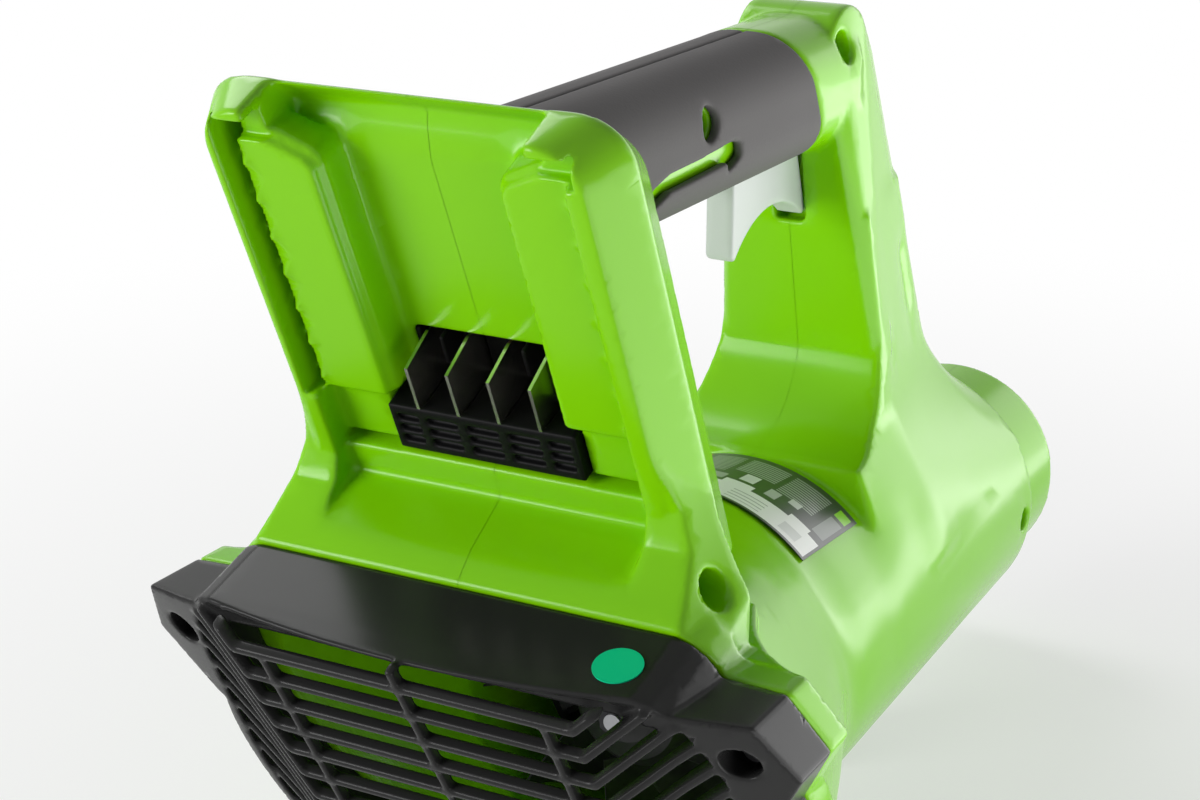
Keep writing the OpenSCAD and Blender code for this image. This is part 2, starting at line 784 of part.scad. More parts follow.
// One terminal blade, grown by g
module blade(i, g) {
    y = (i - 1.5) * 10.5;
    translate([0, y + 0.4 + g, 0]) rotate([90, 0, 0]) linear_extrude(0.8 + 2 * g)
        polygon([[louvre_hi - 2 - g, -14], [louvre_hi - 2 - g, 8], [louvre_hi, 8], [louvre_hi, 10.3],
            [-34.2, 10.2], [-32.2, -1], [-34.2 + g, -14]]);
}

module terminal_blades() {
    color([0.86, 0.84, 0.78]) bay_frame() for (i = [0 : 3]) blade(i, 0);
}

// ---------- electronics ----------

module controller_board() {
    color([0.05, 0.3, 0.12]) bay_frame() translate([-14, -28, board_h]) cube([26, 56, 1.6]);
}

module board_capacitor() {
    color([0.1, 0.1, 0.25]) bay_frame() translate([0, 16, board_h + 1.6]) cylinder(h = 7, r = 5);
}

// Round wire of radius r, along a path of [x, z] points at one y
module flat_tube(path, y, r) {
    n = 8;
    last = len(path) - 1;
    rings = [for (i = [0 : last]) let (
            d = path[min(i + 1, last)] - path[max(i - 1, 0)],
            t = d / norm(d))
        for (k = [0 : n - 1]) [path[i][0] - t[1] * r * cos(k * 360 / n), y + r * sin(k * 360 / n),
            path[i][1] + t[0] * r * cos(k * 360 / n)]];
    polyhedron(points = rings, faces = concat(
        [[for (k = [n - 1 : -1 : 0]) k]],
        [for (i = [0 : last - 1], k = [0 : n - 1]) [i * n + k, i * n + (k + 1) % n, (i + 1) * n + (k + 1) % n,
            (i + 1) * n + k]],
        [[for (k = [0 : n - 1]) last * n + k]]));
}

// Two wires from the terminals, over the board, to the switch in the handle
module battery_leads() {
    color([0.75, 0.08, 0.06]) for (s = [-1, 1]) flat_tube(battery_route, s * 5.25, wire_r);
}

// Two wires from the switch, down the post and into the motor pod
module motor_leads() {
    color([0.08, 0.08, 0.08]) for (s = [-1, 1]) flat_tube(motor_route, s * 1.6, wire_r);
}

// ---------- fan stage ----------

module motor_can() {
    color([0.6, 0.6, 0.62]) fan_frame(motor_x) difference() {
        cylinder(h = motor_len, r = motor_r);
        translate([0, 0, -1]) cylinder(h = 6, r = 8 + fit / 4);
        translate([0, 0, motor_len - 5]) cylinder(h = 6, r = 8 + fit / 4);
        translate([0, 0, -1]) cylinder(h = motor_len + 2, r = shaft_r + 1);
        for (a = [0 : 60 : 300]) rotate(a) translate([12.8, 0, -1]) cylinder(h = 4, r = 2, $fn = 24);
    }
}

module bearing() {
    difference() {
        cylinder(h = 5 - eps, r = 8);
        translate([0, 0, -1]) cylinder(h = 7, r = shaft_r + run_gap);
    }
}

module rear_bearing() {
    color([0.75, 0.75, 0.78]) fan_frame(motor_x) bearing();
}

module front_bearing() {
    color([0.75, 0.75, 0.78]) fan_frame(motor_x + motor_len - 5 + eps) bearing();
}

module motor_shaft() {
    color([0.8, 0.8, 0.82]) fan_frame(motor_x - hub_len - 8) cylinder(h = motor_len + hub_len + 8, r = shaft_r);
}

module fan_impeller() {
    color([0.1, 0.1, 0.1]) fan_frame(motor_x - hub_len - seat) difference() {
        union() {
            rotate_extrude() polygon([[0, -2], [8, -1.5], [14, 1], [17.5, 5], [hub_r, 10], [hub_r, hub_len],
                [hub_r - 2, hub_len], [hub_r - 2, 12], [6, 9], [6, hub_len], [0, hub_len]]);
            intersection() {
                for (i = [0 : blade_count - 1]) rotate(i * 360 / blade_count) fan_blade();
                cylinder(h = hub_len, r = tip_r);
            }
        }
        translate([0, 0, -5]) cylinder(h = hub_len + 10, r = shaft_r);
    }
}

// One twisted blade, standing out from the hub along X
module fan_blade() {
    translate([hub_r - 2, 0, hub_len / 2]) rotate([0, 90, 0])
        linear_extrude(tip_r - hub_r + 4, twist = 18, slices = 4, $fn = 8)
            rotate(blade_pitch) polygon([[-11.5, 0.4], [-6, 1.9], [0, 2.5], [6, 1.9], [11.5, 0.3], [11.5, -0.3],
                [6, 0.4], [0, 0.9], [-6, 0.4], [-11.5, -0.4]]);
}

module impeller_nut() {
    color([0.78, 0.78, 0.8]) fan_frame(motor_x - hub_len - 2 - seat - 5) difference() {
        cylinder(h = 4.5, r = 4.6, $fn = 6);
        translate([0, 0, -1]) cylinder(h = 7, r = shaft_r);
    }
}

module guide_vanes() {
    color([0.12, 0.12, 0.12]) difference() {
        guide_vane_stage();
        wire_hole();
    }
}

module guide_vane_stage() {
    fan_frame(motor_x + 2) {
        union() {
            difference() {
                cylinder(h = 52, r = pod_r);
                translate([0, 0, -1]) cylinder(h = 54, r = sleeve_r);
            }
            difference() {
                translate([0, 0, 8]) cylinder(h = 30, r = casing_r - 0.1);
                translate([0, 0, 7]) cylinder(h = 32, r = casing_r - 2.1);
            }
            intersection() {
                for (i = [0 : vane_count - 1]) rotate(i * 360 / vane_count)
                    translate([0, 0, 23]) rotate([18, 0, 0]) translate([sleeve_r + 0.5, -0.9, -14])
                        cube([casing_r, 1.8, 28]);
                translate([0, 0, 5]) cylinder(h = 40, r = casing_r - 0.5);
            }
        }
    }
}

module tail_cone() {
    color([0.12, 0.12, 0.12]) fan_frame(motor_x + 54 + eps) rotate_extrude()
        polygon([[0, 0], [pod_r, 0], [pod_r - 1, 10], [pod_r - 5, 24], [8, 38], [0, 44]]);
}

module motor_damper() {
    color([0.05, 0.05, 0.05]) for (z = [6, 38]) fan_frame(motor_x + z) difference() {
        cylinder(h = 5, r = sleeve_r - 0.02);
        translate([0, 0, -1]) cylinder(h = 7, r = motor_r + 0.02);
    }
}

// ---------- fasteners and labels ----------

module housing_screws() {
    color([0.72, 0.72, 0.74]) for (p = side_screws) translate([p[0], 0, p[2]]) rotate([90, 0, 0]) {
        translate([0, 0, -8]) cylinder(h = 17.5, r = screw_r, $fn = 24);
        translate([0, 0, 9 + eps]) cylinder(h = 2.4, r = screw_head_r, $fn = 32);
    }
}

// Label: a sector of the barrel's cone
module rating_label() {
    r_front = barrel_front_r + (barrel_rear_r - barrel_front_r) * label_from / barrel_len;
    r_rear = barrel_front_r + (barrel_rear_r - barrel_front_r) * label_to / barrel_len;
    color([0.8, 0.8, 0.8]) translate([-collar_len, 0, 0]) rotate([0, -90 + barrel_rise, 0])
        rotate(-label_angle) rotate_extrude(angle = 2 * label_angle)
            polygon([[r_front + label_seat, label_from], [r_front + label_seat + label_t, label_from],
                [r_rear + label_seat + label_t, label_to], [r_rear + label_seat, label_to]]);
}

// Plain round sticker on the cover's band
module inspection_dot() {
    color([0, 0.65, 0.55]) grille_frame() translate([band_up, dot_y, -cover_depth]) rotate([0, band_slope, 0])
        translate([0, 0, 13]) rotate([0, 90, 0]) cylinder(h = 0.3, r = 5.6);
}

left_housing();
right_housing();
rear_grille();
grille_screws();
left_grip();
right_grip();
trigger();
trigger_pin();
trigger_spring();
switch_body();
switch_plunger();
terminal_block();
terminal_blades();
controller_board();
board_capacitor();
battery_leads();
motor_leads();
motor_can();
rear_bearing();
front_bearing();
motor_shaft();
fan_impeller();
impeller_nut();
guide_vanes();
tail_cone();
motor_damper();
housing_screws();
rating_label();
inspection_dot();
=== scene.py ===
# A cordless leaf blower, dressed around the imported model. The scene is in metres, in the row's
# frame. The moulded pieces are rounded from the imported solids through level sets, whose places
# and sizes are in millimetres.
import itertools
import json
import math

import bmesh
import bpy
import numpy as np
import openvdb as vdb
from mathutils import Matrix, Vector


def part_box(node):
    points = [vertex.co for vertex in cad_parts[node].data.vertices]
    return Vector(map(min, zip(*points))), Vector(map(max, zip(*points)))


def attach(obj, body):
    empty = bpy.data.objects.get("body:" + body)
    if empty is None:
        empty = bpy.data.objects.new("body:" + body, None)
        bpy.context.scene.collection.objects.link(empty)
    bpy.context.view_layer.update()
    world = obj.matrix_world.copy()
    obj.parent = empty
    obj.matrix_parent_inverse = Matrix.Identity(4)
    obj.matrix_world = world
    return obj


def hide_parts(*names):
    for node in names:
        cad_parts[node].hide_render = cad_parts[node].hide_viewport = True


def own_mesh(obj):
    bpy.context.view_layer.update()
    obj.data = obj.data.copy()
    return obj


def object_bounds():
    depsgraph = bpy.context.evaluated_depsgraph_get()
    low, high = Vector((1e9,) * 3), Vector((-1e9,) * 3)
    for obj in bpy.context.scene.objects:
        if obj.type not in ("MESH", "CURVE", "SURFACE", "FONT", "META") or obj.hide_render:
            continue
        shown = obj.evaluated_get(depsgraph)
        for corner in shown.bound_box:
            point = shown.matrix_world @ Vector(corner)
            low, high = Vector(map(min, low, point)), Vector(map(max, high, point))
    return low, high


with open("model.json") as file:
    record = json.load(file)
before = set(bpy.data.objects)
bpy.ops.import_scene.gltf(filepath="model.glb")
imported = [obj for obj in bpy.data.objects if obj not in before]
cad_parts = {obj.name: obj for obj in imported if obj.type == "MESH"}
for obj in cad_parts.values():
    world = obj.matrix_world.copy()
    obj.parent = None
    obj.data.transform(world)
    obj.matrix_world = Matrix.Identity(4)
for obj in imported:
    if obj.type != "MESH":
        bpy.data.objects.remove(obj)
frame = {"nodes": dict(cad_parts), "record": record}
cad_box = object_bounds()
nodes = frame["nodes"]
behaviour = frame["record"]["behaviour"]
body_of = {node: body for body, members in behaviour["bodies"].items() for node in members}
slot_of = {part["node"]: part["material_slot"] for part in frame["record"]["subparts"]}

MM = 0.001
FLOOR_Z = cad_box[0][2]

# ---------------------------------------------------------------- camera, floor and lights
CAMERA_PLACE = (-0.7391, -0.2518, 0.2820)
RIGHT = Vector((0.4717, -0.88175, 0.00497))
DOWN = Vector((-0.2798, -0.15502, -0.94746))
FORWARD = Vector((0.8362, 0.44551, -0.31984))
FLOOR_HALF = 12                # half of the floor's side
FLOOR_MIDDLE = (-0.2, 0, FLOOR_Z)
SHADE_NEAR, SHADE_FAR = 0.15, 0.75    # the floor's shadow fades out between these distances
SHADE_GLOW = 0.55              # share of plain white under the object
WORLD_LIGHT = 0.22             # what the white surroundings give to the object


def make_camera():
    data = bpy.data.cameras.new("camera")
    data.sensor_width = 36
    data.lens = 69.53
    data.clip_start = 0.01
    data.clip_end = 50
    camera = bpy.data.objects.new("camera", data)
    bpy.context.collection.objects.link(camera)
    pose = Matrix((RIGHT, -DOWN, -FORWARD)).transposed().to_4x4()
    pose.translation = Vector(CAMERA_PLACE)
    camera.matrix_world = pose
    bpy.context.scene.camera = camera
    bpy.context.scene.view_settings.view_transform = "Standard"


def shader(name):
    """A new node material, its tree and its Principled shader."""
    mat = bpy.data.materials.new(name)
    mat.use_nodes = True
    return mat, mat.node_tree, mat.node_tree.nodes["Principled BSDF"]


def map_range(tree, value, to_min, to_max, from_min=0, from_max=1, kind="LINEAR"):
    node = tree.nodes.new("ShaderNodeMapRange")
    node.interpolation_type = kind
    node.inputs["From Min"].default_value = from_min
    node.inputs["From Max"].default_value = from_max
    node.inputs["To Min"].default_value = to_min
    node.inputs["To Max"].default_value = to_max
    tree.links.new(value, node.inputs["Value"])
    return node.outputs["Result"]


def math_node(tree, operation, *values):
    """A Math node's result, from numbers and sockets."""
    node = tree.nodes.new("ShaderNodeMath")
    node.operation = operation
    for socket, value in zip(node.inputs, values):
        if isinstance(value, (int, float)):
            socket.default_value = value
        else:
            tree.links.new(value, socket)
    return node.outputs[0]


def seen_directly(tree):
    """1 for rays that show a background: from the camera, off gloss and through glass."""
    rays = tree.nodes.new("ShaderNodeLightPath").outputs
    total = rays["Is Camera Ray"]
    for kind in ("Is Glossy Ray", "Is Transmission Ray"):
        total = math_node(tree, "ADD", total, rays[kind])
        total.node.use_clamp = True
    return total


def make_floor():
    """A white floor: it shows white by itself far away, and takes the shadow close by."""
    mesh = bpy.data.meshes.new("floor")
    corners = [(x * FLOOR_HALF, y * FLOOR_HALF, FLOOR_Z)
               for x, y in ((-1, -1), (1, -1), (1, 1), (-1, 1))]
    mesh.from_pydata(corners, [], [(0, 1, 2, 3)])
    floor = bpy.data.objects.new("floor", mesh)
    bpy.context.collection.objects.link(floor)
    mat, tree, bsdf = shader("floor_white")
    new, link = tree.nodes.new, tree.links.new
    bsdf.inputs["Base Color"].default_value = (0.9, 0.9, 0.9, 1)
    bsdf.inputs["Roughness"].default_value = 0.8
    bsdf.inputs["Specular IOR Level"].default_value = 0.1
    glow = new("ShaderNodeEmission")
    glow.inputs["Strength"].default_value = 1
    away = new("ShaderNodeVectorMath")
    away.operation = "DISTANCE"
    away.inputs[1].default_value = FLOOR_MIDDLE
    link(new("ShaderNodeTexCoord").outputs["Object"], away.inputs[0])
    fade = map_range(tree, away.outputs["Value"], SHADE_GLOW, 1, SHADE_NEAR, SHADE_FAR,
                     "SMOOTHSTEP")
    both = new("ShaderNodeMixShader")
    link(math_node(tree, "MULTIPLY", fade, seen_directly(tree)), both.inputs[0])
    link(bsdf.outputs[0], both.inputs[1])
    link(glow.outputs[0], both.inputs[2])
    link(both.outputs[0], tree.nodes["Material Output"].inputs["Surface"])
    mesh.materials.append(mat)


def area_light(name, place, target, width, height, power, shown=True):
    data = bpy.data.lights.new(name, "AREA")
    data.shape = "RECTANGLE"
    data.size, data.size_y = width, height
    data.energy = power
    lamp = bpy.data.objects.new(name, data)
    bpy.context.collection.objects.link(lamp)
    lamp.location = place
    lamp.rotation_euler = (Vector(target) - Vector(place)).to_track_quat("-Z", "Y").to_euler()
    lamp.visible_camera = shown


def make_lights():
    """A key from the rear left, a soft lamp high on the left, and two white cards on the
    right: one lies on the table and faces up."""
    area_light("key_left", (-1.43, 0.9, 0.37), (-0.33, 0, 0.12), 0.7, 0.7, 19)
    area_light("soft_top", (0.2, 0.85, 1.08), (-0.2, 0, 0.07), 0.7, 0.7, 7)
    area_light("table_right", (0.2, -0.54, FLOOR_Z + 0.004), (0.2, -0.54, 5), 1.4, 0.75, 11,
               shown=False)
    area_light("card_right", (0.6, -0.55, 0.2), (-0.2, -0.05, 0.05), 1.0, 0.5, 3, shown=False)
    world = bpy.data.worlds.new("studio")
    world.use_nodes = True
    bpy.context.scene.world = world
    tree = world.node_tree
    back = tree.nodes["Background"]
    back.inputs["Color"].default_value = (1, 1, 1, 1)
    tree.links.new(map_range(tree, seen_directly(tree), WORLD_LIGHT, 1),
                   back.inputs["Strength"])


# ---------------------------------------------------------------- materials
SLOW_SCALE, WAVE_SCALE = 22, 60    # of the noises, per metre
GRAIN_HEIGHT, WAVE_HEIGHT = 0.0001, 0.0004
ROUGH_SPREAD = 0.12


def linear(r, g, b):
    """sRGB from 0 to 255 as the linear colour that a socket takes."""
    out = []
    for c in (r / 255, g / 255, b / 255):
        out.append(c / 12.92 if c <= 0.04045 else ((c + 0.055) / 1.055) ** 2.4)
    return (*out, 1)


def noise(tree, place, scale, detail):
    node = tree.nodes.new("ShaderNodeTexNoise")
    node.inputs["Scale"].default_value = scale
    node.inputs["Detail"].default_value = detail
    tree.links.new(place, node.inputs["Vector"])
    return node.outputs["Fac"]


def bump(tree, height, strength, distance, under=None):
    """A bump's normal, on top of another one if that is given."""
    node = tree.nodes.new("ShaderNodeBump")
    node.inputs["Strength"].default_value = strength
    node.inputs["Distance"].default_value = distance
    tree.links.new(height, node.inputs["Height"])
    if under:
        tree.links.new(under, node.inputs["Normal"])
    return node.outputs["Normal"]


def mixed(tree, share, first, second):
    """A colour between two, each a socket or a plain colour."""
    node = tree.nodes.new("ShaderNodeMix")
    node.data_type = "RGBA"
    tree.links.new(share, node.inputs["Factor"])
    for socket, colour in ((node.inputs["A"], first), (node.inputs["B"], second)):
        if isinstance(colour, bpy.types.NodeSocket):
            tree.links.new(colour, socket)
        else:
            socket.default_value = colour
    return node.outputs["Result"]


def moulded(name, colour, rough, grain=0.0, grain_size=0.6, wave=0.0, spread=0.06,
            metal=0.0, gloss=0.5):
    """A moulded surface: a colour and a gloss that vary a little, a fine grain with its size
    in millimetres, and slow waves where they are asked for."""
    mat, tree, bsdf = shader(name)
    link = tree.links.new
    place = tree.nodes.new("ShaderNodeTexCoord").outputs["Object"]
    slow = noise(tree, place, SLOW_SCALE, 3)
    base = linear(*colour)[:3]
    deep, pale = ([min(1, c * share) for c in base] + [1] for share in (1 - spread, 1 + spread))
    link(mixed(tree, slow, deep, pale), bsdf.inputs["Base Color"])
    link(map_range(tree, slow, rough * (1 - ROUGH_SPREAD), rough * (1 + ROUGH_SPREAD)),
         bsdf.inputs["Roughness"])
    bsdf.inputs["Metallic"].default_value = metal
    bsdf.inputs["Specular IOR Level"].default_value = gloss
    normal = bump(tree, noise(tree, place, 1 / (grain_size * MM), 2), grain, GRAIN_HEIGHT)
    if wave:
        normal = bump(tree, noise(tree, place, WAVE_SCALE, 1), wave, WAVE_HEIGHT, under=normal)
    link(normal, bsdf.inputs["Normal"])
    return mat


# Each block on the label: millimetres back along the barrel from the collar, degrees to the
# left of the top, ink, and the spacing and the inked share of ruled lines where it has them.
LABEL_BLOCKS = (
    (148, 156.5, 12, 43, (232, 158, 40), None),
    (150, 166, -34, -20, (150, 155, 150), (1.5, 0.5)),
    (150, 163, -18, -4, (150, 155, 150), (1.5, 0.55)),
    (150, 167, -2, 9, (140, 145, 140), (1.5, 0.5)),
    (158, 168, 12, 40, (150, 155, 150), (1.7, 0.5)),
    (165, 169, -30, -26, (190, 193, 190), None),
    (167, 173, -23, -19, (170, 174, 170), None),
    (164, 170.5, -14, -9, (205, 208, 205), None),
    (169, 174, -5, 2, (150, 154, 150), None),
    (149.5, 155, -42.5, -37.5, (128, 196, 30), None),
    (157, 172, -42.5, -37.5, (120, 124, 121), None),
    (176, 187.8, -43, 6, (226, 228, 225), None),
    (173.5, 177, -38, -30, (226, 228, 225), None),
    (172.5, 177, -16, -6, (226, 228, 225), None),
    (178.5, 186, -24, -12, (150, 152, 150), (2.2, 0.22)),
    (180, 185.5, -38, -31, (196, 199, 196), None),
    (179, 186, -7, 3, (160, 163, 160), (1.9, 0.3)),
    (176, 187.8, 9, 43, (120, 124, 121), None),
)


def label_paper():
    """A printed foil with plain blocks and ruled lines, and no lettering."""
    mat = moulded("label_face", (44, 47, 47), 0.32, grain=0.05)
    tree = mat.node_tree
    new, link = tree.nodes.new, tree.links.new
    bsdf = tree.nodes["Principled BSDF"]
    place = new("ShaderNodeTexCoord").outputs["Object"]

    def along(x, y, z):
        """How far a place lies along a direction, in millimetres."""
        node = new("ShaderNodeVectorMath")
        node.operation = "DOT_PRODUCT"
        node.inputs[1].default_value = (x / MM, y / MM, z / MM)
        link(place, node.inputs[0])
        return node.outputs["Value"]

    def inside(value, low, high):
        return math_node(tree, "COMPARE", value, (low + high) / 2, (high - low) / 2)

    c, t = math.cos(BARREL_RISE), math.sin(BARREL_RISE)
    back = math_node(tree, "SUBTRACT", along(-c, 0, t), COLLAR * c)
    up = math_node(tree, "ADD", along(t, 0, c), COLLAR * t)
    turn = math_node(tree, "DEGREES", math_node(tree, "ARCTAN2", along(0, 1, 0), up))
    colour = bsdf.inputs["Base Color"].links[0].from_socket
    for back_from, back_to, turn_from, turn_to, ink, rules in LABEL_BLOCKS:
        mask = math_node(tree, "MULTIPLY", inside(back, back_from, back_to),
                         inside(turn, turn_from, turn_to))
        if rules:
            spacing, inked = rules
            line = math_node(tree, "FRACT", math_node(tree, "DIVIDE", back, spacing))
            mask = math_node(tree, "MULTIPLY", mask,
                             math_node(tree, "COMPARE", line, 0.5, inked / 2))
        colour = mixed(tree, mask, colour, linear(*ink))
    link(colour, bsdf.inputs["Base Color"])
    return mat


def dress(obj, mat):
    """Gives every face of a piece one material."""
    obj.data.materials.clear()
    obj.data.materials.append(mat)


def settle(mesh, node, mat):
    """Puts a new mesh in the scene in the place of a node."""
    piece = bpy.data.objects.new(mesh.name, mesh)
    bpy.context.collection.objects.link(piece)
    dress(piece, mat)
    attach(piece, body_of[node])
    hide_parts(node)
    return piece


# ---------------------------------------------------------------- level sets
BAND = 8                       # cells of distance kept on each side of a surface
BLUR_REACH = 2.5               # a blur ends here, in sigmas


def mesh_arrays(obj):
    """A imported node's points, in millimetres, and its triangles."""
    mesh = obj.data
    mesh.calc_loop_triangles()
    points = np.empty(len(mesh.vertices) * 3, np.float32)
    mesh.vertices.foreach_get("co", points)
    points = points.reshape(-1, 3) @ np.array(obj.matrix_world.to_3x3(), np.float32).T
    tris = np.empty(len(mesh.loop_triangles) * 3, np.int32)
    mesh.loop_triangles.foreach_get("vertices", tris)
    return points / MM, tris.reshape(-1, 3)


def blur(values, sigma):
    """A Gaussian blur of a grid, sigma in cells."""
    reach = int(math.ceil(BLUR_REACH * sigma))
    weights = np.exp(-0.5 * (np.arange(-reach, reach + 1) / sigma) ** 2)
    weights = (weights / weights.sum()).astype(np.float32)
    for axis in range(3):
        padded = np.concatenate([np.take(values, [0] * reach, axis), values,
                                 np.take(values, [-1] * reach, axis)], axis)
        out = np.zeros_like(values)
        for k, weight in enumerate(weights):
            cut = [slice(None)] * 3
            cut[axis] = slice(k, k + values.shape[axis])
            out += weight * padded[tuple(cut)]
        values = out
    return values


class Field:
    """Signed distances in millimetres on a grid, and the cell that the grid starts at."""

    def __init__(self, names, step):
        self.step = step
        self.transform = vdb.createLinearTransform(step)
        shapes = [mesh_arrays(nodes[name]) for name in names]
        every = np.concatenate([points for points, _ in shapes])
        self.low = np.floor(every.min(0) / step).astype(int) - BAND
        high = np.ceil(every.max(0) / step).astype(int) + BAND
        self.dist = None
        for points, tris in shapes:
            grid = vdb.FloatGrid.createLevelSetFromPolygons(
                points.astype(np.float32), triangles=tris.astype(np.uint32),
                transform=self.transform, exBandWidth=float(BAND), inBandWidth=float(BAND))
            part = np.zeros(high - self.low + 1, np.float32)
            grid.copyToArray(part, ijk=tuple(int(i) for i in self.low))
            self.dist = part if self.dist is None else np.minimum(self.dist, part)
        self.background = grid.background

    def axis(self, i):
        """The places of the cells along one axis."""
        return ((self.low[i] + np.arange(self.dist.shape[i])) * self.step).astype(np.float32)

    def region(self, low, high):
        """The slices of a box, and the places of its cells."""
        start = np.maximum(np.floor(np.array(low) / self.step).astype(int) - self.low, 0)
        end = np.minimum(np.ceil(np.array(high) / self.step).astype(int) - self.low,
                         self.dist.shape)
        part = tuple(slice(int(m), int(n)) for m, n in zip(start, end))
        return part, np.ix_(*(self.axis(i)[part[i]] for i in range(3)))

    def smooth(self, sigma):
        """Rounds all edges, sigma in millimetres."""
        self.dist = blur(self.dist, sigma / self.step)

    def join(self):
        """Carries the distances across the seam plane, so that two halves become one body."""
        y = self.axis(1)
        middle = int(-self.low[1])
        known = [middle - 4, middle - 3, middle + 3, middle + 4]
        for j in range(middle - 2, middle + 3):
            plane = 0
            for m in known:
                weight = np.prod([(y[j] - y[n]) / (y[m] - y[n]) for n in known if n != m])
                plane = plane + np.float32(weight) * self.dist[:, m]
            self.dist[:, j] = plane

    def melt(self, low, high, sigma, weight, core=None):
        """Blends a box towards a strong blur, by the weight at each place. A core fills the
        hollow inside first, so that a thin wall keeps its outside."""
        part, (x, y, z) = self.region(low, high)
        old = self.dist[part]
        solid = np.minimum(old, core(x, y, z)) if core else old
        share = weight(x, y, z).astype(np.float32)
        self.dist[part] = old + share * (blur(solid, sigma / self.step) - old)

    def slopes(self, points):
        """The slopes of the distances at points, from the eight cells around each."""
        at = points / self.step - self.low
        base = np.clip(np.floor(at).astype(int), 1, np.array(self.dist.shape) - 3)
        part = (at - base).astype(np.float32)
        slope = np.zeros((len(points), 3), np.float32)
        for corner in itertools.product((0, 1), repeat=3):
            weight = np.prod(np.abs(1 - np.array(corner, np.float32) - part), axis=1)
            cell = base + corner
            for axis in range(3):
                aside = np.eye(3, dtype=int)[axis]
                ahead, behind = (self.dist[tuple((cell + way * aside).T)] for way in (1, -1))
                slope[:, axis] += weight * (ahead - behind)
        return slope / (2 * self.step)

    def mesh(self, name):
        """The surface, with larger faces where it is nearly flat."""
        grid = vdb.FloatGrid(float(self.background))
        grid.transform = self.transform
        grid.copyFromArray(np.clip(self.dist, -self.background, self.background),
                           ijk=tuple(int(i) for i in self.low), tolerance=0.0)
        grid.gridClass = vdb.GridClass.LEVEL_SET
        points, tris, quads = grid.convertToPolygons(isovalue=0.0, adaptivity=0.05)
        mesh = bpy.data.meshes.new(name)
        sizes = np.repeat([3, 4], [len(tris), len(quads)]).astype(np.int32)
        starts = np.concatenate([[0], np.cumsum(sizes)[:-1]]).astype(np.int32)
        corners = np.concatenate([tris[:, ::-1].ravel(), quads[:, ::-1].ravel()])
        mesh.vertices.add(len(points))
        mesh.vertices.foreach_set("co", (points * MM).astype(np.float32).ravel())
        mesh.loops.add(len(corners))
        mesh.loops.foreach_set("vertex_index", corners.astype(np.int32))
        mesh.polygons.add(len(sizes))
        mesh.polygons.foreach_set("loop_start", starts)
        mesh.update(calc_edges=True)
        mesh.validate()
        return mesh

    def shade(self, mesh):
        """Smooth shading along the distances' own slopes, which is finer than the mesh."""
        points = np.empty(len(mesh.vertices) * 3, np.float32)
        mesh.vertices.foreach_get("co", points)
        slope = self.slopes(points.reshape(-1, 3) / MM)
        slope /= np.maximum(np.linalg.norm(slope, axis=1, keepdims=True), 1e-9)
        mesh.polygons.foreach_set("use_smooth", np.ones(len(mesh.polygons), bool))
        mesh.normals_split_custom_set_from_vertices(slope)

    def halves(self, names, gap):
        """The surface cut in two along the seam plane, left half first, with closed ends."""
        whole = self.mesh("whole")
        out = []
        for name, side in zip(names, (1, -1)):
            bm = bmesh.new()
            bm.from_mesh(whole)
            bmesh.ops.bisect_plane(
                bm, geom=bm.verts[:] + bm.edges[:] + bm.faces[:], dist=1e-7,
                plane_co=(0, side * gap * MM, 0), plane_no=(0, -side, 0), clear_outer=True)
            rims = [edge for edge in bm.edges if edge.is_boundary]
            bmesh.ops.triangle_fill(bm, use_beauty=False, edges=rims, normal=(0, -side, 0))
            mesh = bpy.data.meshes.new(name)
            bm.to_mesh(mesh)
            bm.free()
            self.shade(mesh)
            out.append(mesh)
        bpy.data.meshes.remove(whole)
        return out


def rounded(node, name, step, sigma, mat):
    """Replaces a moulded node with the same form, its edges rounded as from a mould."""
    field = Field([node], step)
    field.smooth(sigma)
    mesh = field.mesh(name)
    field.shade(mesh)
    settle(mesh, node, mat)


def ramp(value, low, high):
    """0 below low, 1 above high, smooth in between."""
    t = np.clip((value - low) / (high - low), 0, 1)
    return t * t * (3 - 2 * t)


def window(value, low, low_full, high_full, high):
    """0 outside low and high, 1 between the full places, smooth in between."""
    return ramp(value, low, low_full) * (1 - ramp(value, high_full, high))


def box_distance(*sides):
    """Distance to the inside of a box, from a value and its two limits on each side."""
    return np.maximum.reduce(np.broadcast_arrays(
        *(np.maximum(low - value, value - high) for value, low, high in sides)))


# ---------------------------------------------------------------- the housing
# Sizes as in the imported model: the barrel's cone, the post that stands on it, the round gap
# behind the post, and the battery bay.
SEAM = 0.07                    # half of the seam's width
COLLAR = 34                    # the cone starts here, behind the mouth
BARREL_RISE = math.radians(3.755)
BARREL_FRONT_R, BARREL_REAR_R, BARREL_LENGTH = 40, 51, 192
CONE_COS = 0.998               # of the angle between the cone's side and its axis
CORE_DEPTH = 1.5               # of the barrel's core under its surface
FAN_Z, FAN_CORE_R = 11, 49.5   # a core inside the fan casing's wall
FLARE_X, FLARE_SLOPE = -226, 0.25     # behind this place the wall flares out
POST_REAR_X, POST_Z = -141.5, 81     # a place on the post's rear face
POST_REAR_X_SHARE, POST_REAR_Z_SHARE = 0.98, 0.198    # that face's normal
POST_FRONT_X, POST_FRONT_Z = -50, 34
POST_FRONT_X_SHARE, POST_FRONT_Z_SHARE = 0.871, 0.49
POST_FRONT_SET = 9             # how far the front face stands ahead of its place
POST_HALF = 25.3               # half of the post's width at POST_Z
FLANK_SPREAD = 0.061           # a flank moves out by this for each millimetre down
FLANK_TAPER = 0.22             # and in by this for each millimetre forward
FLANK_COS = 0.977
GAP_X, GAP_Z, GAP_R = -174, 88.8, 30.8
RECESS_X, RECESS_Z = -127, 77  # the screw in the post's flank
SKIN = (-2.5, -0.5)            # a melt fades in over this depth above a core or a cone
BAY_TILT = math.radians(25)
BAY_X, BAY_Z = -333.8, 159.6


